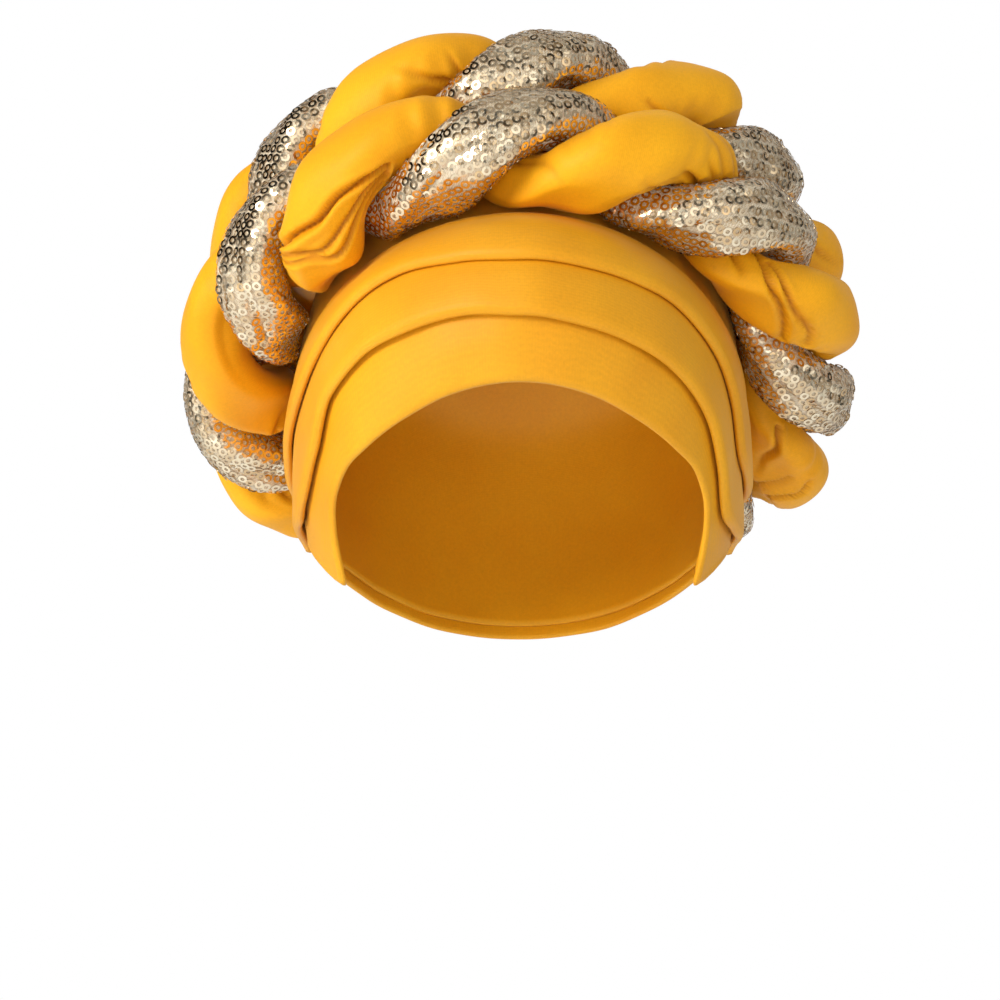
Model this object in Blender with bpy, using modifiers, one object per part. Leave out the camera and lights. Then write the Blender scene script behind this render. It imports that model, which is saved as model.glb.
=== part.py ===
"""Tied head wrap: a cap of stretch cloth with two pleats over a brow band, and two twisted padded ropes.

Each rope is one plain strand and one sequin strand twisted round each other, sewn to the cap as a closed ring.
The rings lean back from level over the brow, and run nearer to level behind. Heights here run along the rings'
common axis, up from the plane of the front rope, and angles run round it, from the brow at 0 to the wearer's left.
The origin is the inside of the crown, where the head touches it, with X to the wearer's left and Z up.
"""

import math

import bmesh
import bpy
import numpy as np
from mathutils import Vector

# Rings and ropes
WRAP_TILT = math.radians(45)
STRAND_THICKNESS = 0.0194
STRAND_WIDTH = 0.0325
STRAND_GAP = 0.0004
ROPE_GAP = 0.0005
FRONT_SEAT_GAP = 0.0004
REAR_SEAT_GAP = -0.0001
ROPE_LIFT = 0.0270
LIFT_START = 60.0
REAR_LAG = 0.15

# Cap, outside of its cloth
CAP_HALF_WIDTH = 0.0810
CAP_FRONT = 0.0910
CAP_BACK = 0.0910
CROWN_RISE = 0.0200
SKIRT_DROP = 0.1120
CAP_CLOTH = 0.0020

# Pleats
PLEAT_CLOTH = 0.0022
PLEAT_GAP = 0.0007
PLEAT_OVERLAP = 0.0070
BAND_HEM = 0.0025
PLEAT_TUCK = 0.0225
NAPE_BAND = 0.0120

# Fineness of the meshes
COLUMN = 7.5
CAP_ROWS = 9
STATIONS_A_TWIST = 13
STRAND_SIDES = 8

# A strand's middle lies STRAND_OUT from its rope's, and the widest reach of its oval is the rope's radius
HALF_THICK, HALF_WIDE = STRAND_THICKNESS / 2, STRAND_WIDTH / 2
STRAND_OUT = HALF_THICK + STRAND_GAP / 2
SHOULDER = STRAND_OUT * HALF_THICK / math.sqrt(HALF_WIDE**2 - HALF_THICK**2)
ROPE_RADIUS = math.hypot(STRAND_OUT, HALF_WIDE, SHOULDER)
RING_SPACING = 2 * ROPE_RADIUS + ROPE_GAP
SEAT_HEIGHT = RING_SPACING + CROWN_RISE - CAP_CLOTH

AXIS = np.array([0.0, math.sin(WRAP_TILT), math.cos(WRAP_TILT)])
BACK = np.array([0.0, math.cos(WRAP_TILT), -math.sin(WRAP_TILT)])
SIDE = np.array([1.0, 0.0, 0.0])

# Level sections of the cap. The height is a share of CROWN_RISE above the rear rope, of RING_SPACING between
# the ropes and of SKIRT_DROP below the front rope. The others are shares of CAP_HALF_WIDTH, CAP_FRONT, CAP_BACK.
SECTIONS = (
    # stretch, height, width, front, back
    ("crown", 1.00, 0.000, 0.000, 0.000),
    ("crown", 0.86, 0.420, 0.440, 0.370),
    ("crown", 0.50, 0.715, 0.725, 0.600),
    ("crown", 0.00, 0.905, 0.925, 0.770),
    ("drum", 0.50, 0.975, 0.980, 0.905),
    ("drum", 0.00, 1.012, 1.000, 1.000),
    ("skirt", 0.18, 1.008, 1.090, 1.060),
    ("skirt", 0.37, 0.985, 1.200, 1.095),
    ("skirt", 0.53, 0.950, 1.170, 1.085),
    ("skirt", 0.68, 0.902, 1.060, 1.045),
    ("skirt", 0.79, 0.852, 0.910, 0.990),
    ("skirt", 0.90, 0.778, 0.720, 0.920),
    ("skirt", 1.00, 0.700, 0.520, 0.835),
)

# Lower edge of the band all the way round, as shares of SKIRT_DROP below the front rope
RIM = (
    # angle, drop
    (0, 0.776),
    (20, 0.780),
    (35, 0.786),
    (50, 0.784),
    (60, 0.776),
    (68, 0.790),
    (76, 0.840),
    (83, 0.900),
    (88, 0.930),
    (94, 0.760),
    (101, 0.580),
    (112.5, 0.450),
    (130, 0.375),
    (150, 0.335),
    (180, 0.310),
)

# Lower edges of the two pleats, as shares of SKIRT_DROP, on the wearer's right (negative angles) and left
FOLDS = (
    # angle, lower right, lower left, upper right, upper left
    (0, 0.637, 0.637, 0.480, 0.480),
    (15, 0.620, 0.642, 0.460, 0.476),
    (30, 0.606, 0.638, 0.418, 0.455),
    (45, 0.584, 0.634, 0.392, 0.433),
    (57, 0.586, 0.650, 0.398, 0.434),
    (68, 0.656, 0.712, 0.412, 0.480),
    (78, 0.668, 0.762, 0.394, 0.540),
    (88, 0.640, 0.700, 0.370, 0.480),
    (100, 0.520, 0.560, 0.320, 0.370),
    (112.5, 0.425, 0.435, 0.255, 0.265),
)
PLEAT_END = FOLDS[-1][0]

# Lobes of the front rope, one row for each half turn, with the plain strand outermost on the even rows.
# The angle is where the lobe faces forward, and outset is how far the rope sways out there, in metres.
LOBES = (
    # angle, outset
    (-132, 0.0010),
    (-110, 0.0010),
    (-86, -0.0005),
    (-61, 0.0000),
    (-38, 0.0),
    (-8, 0.0),
    (18, 0.0),
    (42, 0.0010),
    (65, 0.0010),
    (86, -0.0005),
    (105, 0.0),
    (125, 0.0),
    (147, 0.0),
    (169, 0.0),
    (191, 0.0),
    (210, 0.0010),
)
PLAIN_LOBE = 4

PLAIN_CLOTH = ("plain_knit", (0.95, 0.47, 0.03), 0.55, 0.0)
SEQUIN_CLOTH = ("sequin_mesh", (0.75, 0.58, 0.36), 0.35, 0.6)


def smooth_rows(rows, places):
    """Rows of numbers read at fractional places, on Catmull-Rom curves through them."""
    rows = np.asarray(rows, float)
    ends = np.vstack([2 * rows[0] - rows[1], rows, 2 * rows[-1] - rows[-2]])
    places = np.clip(places, 0, len(rows) - 1)
    first = np.minimum(places.astype(int), len(rows) - 2)
    f = (places - first)[..., None]
    a, b, c, d = (ends[first + k] for k in range(4))
    return 0.5 * (2 * b + (c - a) * f + (2 * a - 5 * b + 4 * c - d) * f**2 + (3 * b - a - 3 * c + d) * f**3)


def table_at(angles, table, column):
    """A column of a table by angle, on a smooth curve that is level at both ends and never overshoots."""
    at = np.array([row[0] for row in table], float)
    value = np.array([row[column] for row in table], float)
    step = np.diff(value) / np.diff(at)
    slope = np.zeros(len(at))
    for k in range(1, len(at) - 1):
        if step[k - 1] * step[k] > 0:
            slope[k] = 2 * step[k - 1] * step[k] / (step[k - 1] + step[k])
    angles = np.clip(angles, at[0], at[-1])
    k = np.clip(np.searchsorted(at, angles, side="right") - 1, 0, len(at) - 2)
    width = at[k + 1] - at[k]
    t = (angles - at[k]) / width
    return (
        value[k] * (1 + 2 * t) * (1 - t) ** 2
        + slope[k] * width * t * (1 - t) ** 2
        + value[k + 1] * t**2 * (3 - 2 * t)
        - slope[k + 1] * width * t**2 * (1 - t)
    )


def section_row(stretch, height, width, front, back):
    heights = {
        "crown": RING_SPACING + height * CROWN_RISE,
        "drum": height * RING_SPACING,
        "skirt": -height * SKIRT_DROP,
    }
    return heights[stretch], width * CAP_HALF_WIDTH, front * CAP_FRONT, back * CAP_BACK


CAP_SECTIONS = np.array([section_row(*row) for row in SECTIONS])
FINE_PLACES = np.linspace(0, len(CAP_SECTIONS) - 1, 1201)
FINE_SECTIONS = smooth_rows(CAP_SECTIONS, FINE_PLACES)


def place_of_height(height):
    return np.interp(-np.asarray(height, float), -FINE_SECTIONS[:, 0], FINE_PLACES)


def in_space(x, height, back):
    """A point given by its distance to the side, its height on the axis and its distance back from it."""
    height = height - SEAT_HEIGHT
    return x[..., None] * SIDE + height[..., None] * AXIS + back[..., None] * BACK


def cap_point(angle, place):
    height, width, front, back = np.moveaxis(smooth_rows(CAP_SECTIONS, place), -1, 0)
    forward = np.cos(angle)
    return in_space(width * np.sin(angle), height, -forward * np.where(forward > 0, front, back))


def cap_surface(angle, place, offset):
    """A point of the cap's outside, moved out along the surface's normal."""
    small = 1e-3
    across = cap_point(angle + small, place) - cap_point(angle - small, place)
    down = cap_point(angle, place + small) - cap_point(angle, place - small)
    normal = np.cross(down, across)
    length = np.maximum(np.linalg.norm(normal, axis=-1, keepdims=True), 1e-12)
    return cap_point(angle, place) + normal / length * np.asarray(offset)[..., None]


def rim_height(degrees):
    return -SKIRT_DROP * table_at(np.abs(degrees), RIM, 1)


def fold_height(degrees, column):
    right = table_at(np.abs(degrees), FOLDS, column)
    left = table_at(np.abs(degrees), FOLDS, column + 1)
    return -SKIRT_DROP * np.where(degrees < 0, right, left)


def new_object(name, mesh, cloth, collection):
    material = bpy.data.materials.get(cloth[0])
    if material is None:
        material = bpy.data.materials.new(cloth[0])
        material.use_nodes = True
        shader = material.node_tree.nodes["Principled BSDF"]
        shader.inputs["Base Color"].default_value = (*cloth[1], 1.0)
        shader.inputs["Roughness"].default_value = cloth[2]
        shader.inputs["Metallic"].default_value = cloth[3]
    mesh.materials.append(material)
    mesh.shade_smooth()
    obj = bpy.data.objects.new(name, mesh)
    collection.objects.link(obj)
    return obj


def grid_mesh(name, points, closed_across, closed_along=False, pole=None, turned=()):
    """A sheet through a grid of points, row by row. A pole closes its first row to one point. The columns in
    turned are split on their other diagonal."""
    mesh = bmesh.new()
    rows = [[mesh.verts.new(Vector(p)) for p in row] for row in points]
    along = len(rows) if closed_along else len(rows) - 1
    columns = len(rows[0]) if closed_across else len(rows[0]) - 1
    for i in range(along):
        above, below = rows[i], rows[(i + 1) % len(rows)]
        for j in range(columns):
            k = (j + 1) % len(above)
            if j in turned:
                mesh.faces.new((above[j], below[j], above[k]))
                mesh.faces.new((below[j], below[k], above[k]))
            else:
                mesh.faces.new((above[j], below[j], below[k]))
                mesh.faces.new((above[j], below[k], above[k]))
    if pole is not None:
        top = mesh.verts.new(Vector(pole))
        for j in range(columns):
            mesh.faces.new((top, rows[0][j], rows[0][(j + 1) % len(rows[0])]))
    data = bpy.data.meshes.new(name)
    mesh.to_mesh(data)
    mesh.free()
    return data


def around_cap():
    """Angles of the columns of a piece that goes all the way round."""
    return np.arange(-180, 180, COLUMN)


def make_cap(collection):
    """The cap's crown, sides and nape, one wall, its edge drawn in behind the band's."""
    degrees = around_cap()
    angle = np.radians(degrees)
    rim = place_of_height(rim_height(degrees) + BAND_HEM)
    ring_place = float(place_of_height(0.0))
    places = [np.full(len(angle), place) for place in np.arange(1, ring_place + 0.5)]
    places += [ring_place + (rim - ring_place) * k / CAP_ROWS for k in range(1, CAP_ROWS + 1)]
    rows = [cap_point(angle, place) for place in places]
    pole = cap_point(np.zeros(1), np.zeros(1))[0]
    cap = new_object("cap_body", grid_mesh("cap_body", rows, True, pole=pole), PLAIN_CLOTH, collection)
    wall = cap.modifiers.new("cloth", "SOLIDIFY")
    wall.thickness = CAP_CLOTH
    wall.offset = -1


def covered_share(degrees):
    """How fully a pleat covers the cloth under it: wholly in front, and less towards the pleats' ends."""
    return np.clip(4 * (1 - np.abs(degrees) / PLEAT_END), 0, 1)


def band_top(degrees):
    """Upper edge of the brow band: covered by the lower pleat in front, a plain strip at the nape."""
    strip = rim_height(degrees) + NAPE_BAND
    return strip + (fold_height(degrees, 1) + PLEAT_OVERLAP - strip) * covered_share(degrees)


def pleat_top(degrees):
    """Upper edge of the lower pleat, covered by the upper one."""
    return fold_height(degrees, 3) + PLEAT_OVERLAP * (1 + covered_share(degrees)) / 2


def make_tier(name, degrees, low, high, under_top, closed, collection):
    """A band of cloth between two heights. It stands out over the cloth under it, whose top edge is under_top,
    and lies on the cap above that."""
    angle = np.radians(degrees)
    step = PLEAT_CLOTH + PLEAT_GAP
    if under_top is None:
        rows = [(low + (high - low) * share, 0) for share in (1, 0.66, 0.33, 0)]
    else:
        seam, clear = under_top + step / 2, under_top + 2.5 * step
        rows = [(high, 0), ((high + clear) / 2, 0), (clear, 0), (seam, 1), ((seam + low) / 2, 1), (low, 1)]
    points = [
        cap_surface(angle, place_of_height(height), np.full(len(angle), PLEAT_GAP + step * raised))
        for height, raised in rows
    ]
    tier = new_object(name, grid_mesh(name, points, closed), PLAIN_CLOTH, collection)
    wall = tier.modifiers.new("cloth", "SOLIDIFY")
    wall.thickness = PLEAT_CLOTH
    wall.offset = 1


def make_tiers(collection):
    """The brow band, closed at the nape, and the two pleats over it, each covering the top of the one below."""
    around = around_cap()
    make_tier("brow_band", around, rim_height(around), band_top(around), None, True, collection)
    front = np.arange(-PLEAT_END, PLEAT_END + COLUMN / 2, COLUMN)
    lower, upper = fold_height(front, 1), fold_height(front, 3)
    make_tier("lower_fold", front, lower, pleat_top(front), band_top(front), False, collection)
    under_rope = rope_lift(front) - PLEAT_TUCK
    make_tier("upper_fold", front, upper, under_rope, pleat_top(front), False, collection)


def lobes_at(turns, column):
    """A column of the lobes' table at fractional rows, on a closed smooth curve. Angles run on past 360."""
    count = len(LOBES)
    values = np.array([row[column] for row in LOBES], float)
    first = np.floor(turns).astype(int)
    f = turns - first
    lap = 360.0 if column == 0 else 0.0
    a, b, c, d = (values[(first + k) % count] + lap * ((first + k) // count) for k in (-1, 0, 1, 2))
    return 0.5 * (2 * b + (c - a) * f + (2 * a - 5 * b + 4 * c - d) * f**2 + (3 * b - a - 3 * c + d) * f**3)


def rope_lift(degrees):
    """How far the front rope rises above its plane, from the sides to the nape, where it runs level."""
    degrees = np.abs((np.asarray(degrees) + 180) % 360 - 180)
    share = np.clip((degrees - LIFT_START) / (180 - LIFT_START), 0, 1)
    return ROPE_LIFT * np.sin(share * math.pi / 2) ** 2


def rope_reach(height, gap):
    """Half-width, front and back of a rope's centre line that rests on the cap at each height."""
    radius = ROPE_RADIUS + gap
    away = radius**2 - (height[:, None] - FINE_SECTIONS[:, 0]) ** 2
    out = np.where(away > 0, np.sqrt(np.maximum(away, 0)), -1.0)
    return [np.max(FINE_SECTIONS[:, k] + out, axis=1) for k in (1, 2, 3)]


def ring_line(angle, height, outset, gap):
    """A rope's centre line as (distance to the side, distance back), resting on the cap."""
    width, front, back = rope_reach(height, gap)
    forward = np.cos(angle)
    side = (width + outset) * np.sin(angle)
    return side, -forward * (np.where(forward > 0, front, back) + outset)


def rear_height(angle, front_height, outset):
    """Height at which the rear rope rests on both the cap and the front rope, found by halving."""
    front_line = ring_line(angle, front_height, outset, FRONT_SEAT_GAP)
    low, high = front_height + RING_SPACING / 4, front_height + RING_SPACING
    for _ in range(30):
        middle = (low + high) / 2
        line = ring_line(angle, middle, outset, REAR_SEAT_GAP)
        apart = np.sqrt((middle - front_height) ** 2 + (line[0] - front_line[0]) ** 2 + (line[1] - front_line[1]) ** 2)
        low, high = np.where(apart < RING_SPACING, middle, low), np.where(apart < RING_SPACING, high, middle)
    return (low + high) / 2


def strand_rows(rear, strand):
    """Sections of a strand along its ring. Strand 0 faces forward on the even lobes and strand 1 on the odd."""
    stations = STATIONS_A_TWIST * len(LOBES) // 2
    turns = np.arange(stations) * len(LOBES) / stations
    degrees = lobes_at(turns, 0)
    angle = np.radians(degrees)
    outset = lobes_at(turns, 1)
    height = rope_lift(degrees)
    if rear:
        height = rear_height(angle, height, outset)
    side, back = ring_line(angle, height, outset, REAR_SEAT_GAP if rear else FRONT_SEAT_GAP)
    centre = in_space(side, height, back)
    along = np.roll(centre, -1, axis=0) - np.roll(centre, 1, axis=0)
    along /= np.linalg.norm(along, axis=1, keepdims=True)
    out = np.cross(along, AXIS)
    out /= np.linalg.norm(out, axis=1, keepdims=True)
    up = np.cross(out, along)
    facing = np.arctan2(-up[:, 1], -out[:, 1])
    twist = facing + math.pi * (turns - PLAIN_LOBE + strand - REAR_LAG * rear)
    radial = np.cos(twist)[:, None] * out + np.sin(twist)[:, None] * up
    across = np.cos(twist)[:, None] * up - np.sin(twist)[:, None] * out
    middle = centre + radial * STRAND_OUT
    rows = []
    for k in range(STRAND_SIDES):
        turn = 2 * math.pi * k / STRAND_SIDES
        rows.append(middle + radial * HALF_THICK * math.cos(turn) + across * HALF_WIDE * math.sin(turn))
    return np.swapaxes(np.array(rows), 0, 1)


def make_ropes(collection):
    """The front rope on the cap's widest section and the rear rope above it, in step with it."""
    for rope in ("front", "rear"):
        for strand, (kind, cloth) in enumerate((("plain", PLAIN_CLOTH), ("sequin", SEQUIN_CLOTH))):
            name = f"{rope}_twist_{kind}"
            rows = strand_rows(rope == "rear", strand)
            # Only the two columns that face the other strand keep the split that draws back from it
            inner = (STRAND_SIDES // 2 - 1, STRAND_SIDES // 2)
            turned = [k for k in range(STRAND_SIDES) if k not in inner]
            mesh = grid_mesh(name, rows, True, closed_along=True, turned=turned)
            new_object(name, mesh, cloth, collection)


def main():
    for old in list(bpy.data.objects):
        bpy.data.objects.remove(old, do_unlink=True)
    collection = bpy.data.collections.new("head_wrap")
    bpy.context.scene.collection.children.link(collection)
    make_cap(collection)
    make_tiers(collection)
    make_ropes(collection)


main()
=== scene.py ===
import math

import bpy
import numpy as np
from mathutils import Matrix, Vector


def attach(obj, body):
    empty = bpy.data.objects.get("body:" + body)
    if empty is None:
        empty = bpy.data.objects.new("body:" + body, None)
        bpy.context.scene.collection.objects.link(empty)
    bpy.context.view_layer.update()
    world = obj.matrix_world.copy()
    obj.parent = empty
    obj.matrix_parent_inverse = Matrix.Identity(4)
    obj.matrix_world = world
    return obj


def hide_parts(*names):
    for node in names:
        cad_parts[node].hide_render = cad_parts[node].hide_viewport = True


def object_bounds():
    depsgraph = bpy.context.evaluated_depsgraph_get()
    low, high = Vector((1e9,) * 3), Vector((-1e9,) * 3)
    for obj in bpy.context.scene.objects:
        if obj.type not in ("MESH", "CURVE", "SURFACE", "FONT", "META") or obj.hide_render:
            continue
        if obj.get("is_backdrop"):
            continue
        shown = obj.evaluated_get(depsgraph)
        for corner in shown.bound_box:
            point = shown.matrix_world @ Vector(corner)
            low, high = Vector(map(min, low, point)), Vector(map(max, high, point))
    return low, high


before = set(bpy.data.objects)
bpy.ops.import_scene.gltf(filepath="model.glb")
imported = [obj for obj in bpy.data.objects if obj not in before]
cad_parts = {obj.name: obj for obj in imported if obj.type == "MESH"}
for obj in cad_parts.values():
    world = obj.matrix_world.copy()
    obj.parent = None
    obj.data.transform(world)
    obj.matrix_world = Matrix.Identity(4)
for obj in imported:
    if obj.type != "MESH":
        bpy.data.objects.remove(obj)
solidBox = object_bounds()
bpy.ops.object.select_all(action="DESELECT")
print("frame loaded")

# The wrap's own measures, in metres, the same as its solids'
wrap = {
    "tilt": math.radians(45),
    "strandThickness": 0.0194,
    "strandWidth": 0.0325,
    "strandGap": 0.0004,
    "ropeGap": 0.0005,
    "frontSeatGap": 0.0004,
    "rearSeatGap": -0.0001,
    "ropeLift": 0.0270,
    "liftStart": 60.0,
    "rearLag": 0.15,
    "capHalfWidth": 0.0810,
    "capFront": 0.0910,
    "capBack": 0.0910,
    "crownRise": 0.0200,
    "skirtDrop": 0.1120,
    "capCloth": 0.0020,
    "plainLobe": 4,
    "browTurn": 5.5,
}

# stretch, height, width, front, back: shares of the cap's sizes, from the crown down
sections = (
    ("crown", 1.00, 0.000, 0.000, 0.000),
    ("crown", 0.86, 0.420, 0.440, 0.370),
    ("crown", 0.50, 0.715, 0.725, 0.600),
    ("crown", 0.00, 0.905, 0.925, 0.770),
    ("drum", 0.50, 0.975, 0.980, 0.905),
    ("drum", 0.00, 1.012, 1.000, 1.000),
    ("skirt", 0.18, 1.008, 1.090, 1.060),
    ("skirt", 0.37, 0.985, 1.200, 1.095),
    ("skirt", 0.53, 0.950, 1.170, 1.085),
    ("skirt", 0.68, 0.902, 1.060, 1.045),
    ("skirt", 0.79, 0.852, 0.910, 0.990),
    ("skirt", 0.90, 0.778, 0.720, 0.920),
    ("skirt", 1.00, 0.700, 0.520, 0.835),
)

# angle, drop: the face edge and nape, as shares of the skirt's drop
rim = (
    (0, 0.776),
    (20, 0.780),
    (35, 0.786),
    (50, 0.784),
    (60, 0.776),
    (68, 0.790),
    (76, 0.840),
    (83, 0.900),
    (88, 0.930),
    (94, 0.760),
    (101, 0.580),
    (112.5, 0.450),
    (130, 0.375),
    (150, 0.335),
    (180, 0.310),
)

# angle, lower right, lower left, upper right, upper left: where the pleats' rolled edges run
folds = (
    (0, 0.637, 0.637, 0.480, 0.480),
    (15, 0.620, 0.642, 0.460, 0.476),
    (30, 0.606, 0.638, 0.418, 0.455),
    (45, 0.584, 0.634, 0.392, 0.433),
    (57, 0.586, 0.650, 0.398, 0.434),
    (68, 0.656, 0.712, 0.412, 0.480),
    (78, 0.668, 0.762, 0.394, 0.540),
    (88, 0.640, 0.700, 0.370, 0.480),
    (100, 0.520, 0.560, 0.320, 0.370),
    (112.5, 0.425, 0.435, 0.255, 0.265),
)
pleatEnd = folds[-1][0]

# angle, outset: the lobes of the ropes, one row for each half turn
lobes = (
    (-132, 0.0010),
    (-110, 0.0010),
    (-86, -0.0005),
    (-61, 0.0),
    (-38, 0.0),
    (-8, 0.0),
    (18, 0.0),
    (42, 0.0010),
    (65, 0.0010),
    (86, -0.0005),
    (105, 0.0),
    (125, 0.0),
    (147, 0.0),
    (169, 0.0),
    (191, 0.0),
    (210, 0.0010),
)

halfThick = wrap["strandThickness"] / 2
halfWide = wrap["strandWidth"] / 2
strandOut = halfThick + wrap["strandGap"] / 2
shoulder = strandOut * halfThick / math.sqrt(halfWide**2 - halfThick**2)
ropeRadius = math.hypot(strandOut, halfWide, shoulder)
ringSpacing = 2 * ropeRadius + wrap["ropeGap"]
seatHeight = ringSpacing + wrap["crownRise"] - wrap["capCloth"]
axisWay = np.array([0.0, math.sin(wrap["tilt"]), math.cos(wrap["tilt"])])
backWay = np.array([0.0, math.cos(wrap["tilt"]), -math.sin(wrap["tilt"])])
sideWay = np.array([1.0, 0.0, 0.0])


def unit(vectors):
    return vectors / np.linalg.norm(vectors, axis=-1, keepdims=True)


def smoothBetween(a, b, c, d, f):
    # A share f of the way from b to c, on a smooth curve through all four
    return 0.5 * (2 * b + (c - a) * f + (2 * a - 5 * b + 4 * c - d) * f**2 + (3 * b - a - 3 * c + d) * f**3)


def smoothRows(rows, places):
    rows = np.asarray(rows, float)
    ends = np.vstack([2 * rows[0] - rows[1], rows, 2 * rows[-1] - rows[-2]])
    places = np.clip(places, 0, len(rows) - 1)
    first = np.minimum(places.astype(int), len(rows) - 2)
    f = (places - first)[..., None]
    a, b, c, d = (ends[first + k] for k in range(4))
    return smoothBetween(a, b, c, d, f)


def tableAt(angles, table, column):
    at = np.array([row[0] for row in table], float)
    value = np.array([row[column] for row in table], float)
    step = np.diff(value) / np.diff(at)
    slope = np.zeros(len(at))
    for k in range(1, len(at) - 1):
        if step[k - 1] * step[k] > 0:
            slope[k] = 2 * step[k - 1] * step[k] / (step[k - 1] + step[k])
    angles = np.clip(angles, at[0], at[-1])
    k = np.clip(np.searchsorted(at, angles, side="right") - 1, 0, len(at) - 2)
    width = at[k + 1] - at[k]
    t = (angles - at[k]) / width
    return (
        value[k] * (1 + 2 * t) * (1 - t) ** 2
        + slope[k] * width * t * (1 - t) ** 2
        + value[k + 1] * t**2 * (3 - 2 * t)
        - slope[k + 1] * width * t**2 * (1 - t)
    )


def sectionRow(stretch, height, width, front, back):
    heights = {
        "crown": ringSpacing + height * wrap["crownRise"],
        "drum": height * ringSpacing,
        "skirt": -height * wrap["skirtDrop"],
    }
    return heights[stretch], width * wrap["capHalfWidth"], front * wrap["capFront"], back * wrap["capBack"]


capSections = np.array([sectionRow(*row) for row in sections])
finePlaces = np.linspace(0, len(capSections) - 1, 1201)
fineSections = smoothRows(capSections, finePlaces)


def placeOfHeight(height):
    return np.interp(-np.asarray(height, float), -fineSections[:, 0], finePlaces)


def inSpace(x, height, back):
    height = height - seatHeight
    return x[..., None] * sideWay + height[..., None] * axisWay + back[..., None] * backWay


def capPoint(angle, place):
    height, width, front, back = np.moveaxis(smoothRows(capSections, place), -1, 0)
    forward = np.cos(angle)
    return inSpace(width * np.sin(angle), height, -forward * np.where(forward > 0, front, back))


def capSurface(angle, place, offset):
    small = 1e-3
    across = capPoint(angle + small, place) - capPoint(angle - small, place)
    down = capPoint(angle, place + small) - capPoint(angle, place - small)
    normal = np.cross(down, across)
    length = np.maximum(np.linalg.norm(normal, axis=-1, keepdims=True), 1e-12)
    return capPoint(angle, place) + normal / length * np.asarray(offset)[..., None]


def rimHeight(degrees):
    return -wrap["skirtDrop"] * tableAt(np.abs(degrees), rim, 1)


def foldHeight(degrees, column):
    right = tableAt(np.abs(degrees), folds, column)
    left = tableAt(np.abs(degrees), folds, column + 1)
    return -wrap["skirtDrop"] * np.where(degrees < 0, right, left)


def lobesAt(turns, column):
    count = len(lobes)
    values = np.array([row[column] for row in lobes], float)
    first = np.floor(turns).astype(int)
    f = turns - first
    lap = 360.0 if column == 0 else 0.0
    a, b, c, d = (values[(first + k) % count] + lap * ((first + k) // count) for k in (-1, 0, 1, 2))
    return smoothBetween(a, b, c, d, f)


def ropeLift(degrees):
    degrees = np.abs((np.asarray(degrees) + 180) % 360 - 180)
    share = np.clip((degrees - wrap["liftStart"]) / (180 - wrap["liftStart"]), 0, 1)
    return wrap["ropeLift"] * np.sin(share * math.pi / 2) ** 2


def ringLine(angle, height, outset, gap):
    away = (ropeRadius + gap) ** 2 - (height[:, None] - fineSections[:, 0]) ** 2
    out = np.where(away > 0, np.sqrt(np.maximum(away, 0)), -1.0)
    width, front, back = (np.max(fineSections[:, k] + out, axis=1) for k in (1, 2, 3))
    forward = np.cos(angle)
    return (width + outset) * np.sin(angle), -forward * (np.where(forward > 0, front, back) + outset)


def rearHeight(angle, frontHeight, outset):
    frontLine = ringLine(angle, frontHeight, outset, wrap["frontSeatGap"])
    low, high = frontHeight + ringSpacing / 4, frontHeight + ringSpacing
    for _ in range(30):  # halved until the two rings just touch
        middle = (low + high) / 2
        line = ringLine(angle, middle, outset, wrap["rearSeatGap"])
        apart = np.sqrt(
            (middle - frontHeight) ** 2 + (line[0] - frontLine[0]) ** 2 + (line[1] - frontLine[1]) ** 2
        )
        low, high = np.where(apart < ringSpacing, middle, low), np.where(apart < ringSpacing, high, middle)
    return (low + high) / 2


def stationTurns(stations, crowding):
    # Places along a strand in half turns, closer together over the brow than at the nape
    t = np.arange(stations) / stations
    middle = wrap["browTurn"]
    swing = crowding * np.sin(2 * math.pi * (t - middle / len(lobes))) / (2 * math.pi)
    start = crowding * math.sin(-2 * math.pi * middle / len(lobes)) / (2 * math.pi)
    return len(lobes) * (t - swing + start)


def strandFrame(rear, strand, turns):
    degrees = lobesAt(turns, 0)
    angle = np.radians(degrees)
    outset = lobesAt(turns, 1)
    height = ropeLift(degrees)
    if rear:
        height = rearHeight(angle, height, outset)
    side, back = ringLine(angle, height, outset, wrap["rearSeatGap"] if rear else wrap["frontSeatGap"])
    centre = inSpace(side, height, back)
    along = unit(np.roll(centre, -1, axis=0) - np.roll(centre, 1, axis=0))
    out = unit(np.cross(along, axisWay))
    up = np.cross(out, along)
    facing = np.arctan2(-up[:, 1], -out[:, 1])
    twist = facing + math.pi * (turns - wrap["plainLobe"] + strand - wrap["rearLag"] * rear)
    radial = np.cos(twist)[:, None] * out + np.sin(twist)[:, None] * up
    across = np.cos(twist)[:, None] * up - np.sin(twist)[:, None] * out
    return {"turns": turns, "centre": centre, "out": out, "radial": radial, "across": across}


def meshObject(name, verts, faces):
    mesh = bpy.data.meshes.new(name)
    mesh.from_pydata(verts.tolist(), [], faces)
    obj = bpy.data.objects.new(name, mesh)
    bpy.context.scene.collection.objects.link(obj)
    return obj


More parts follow.
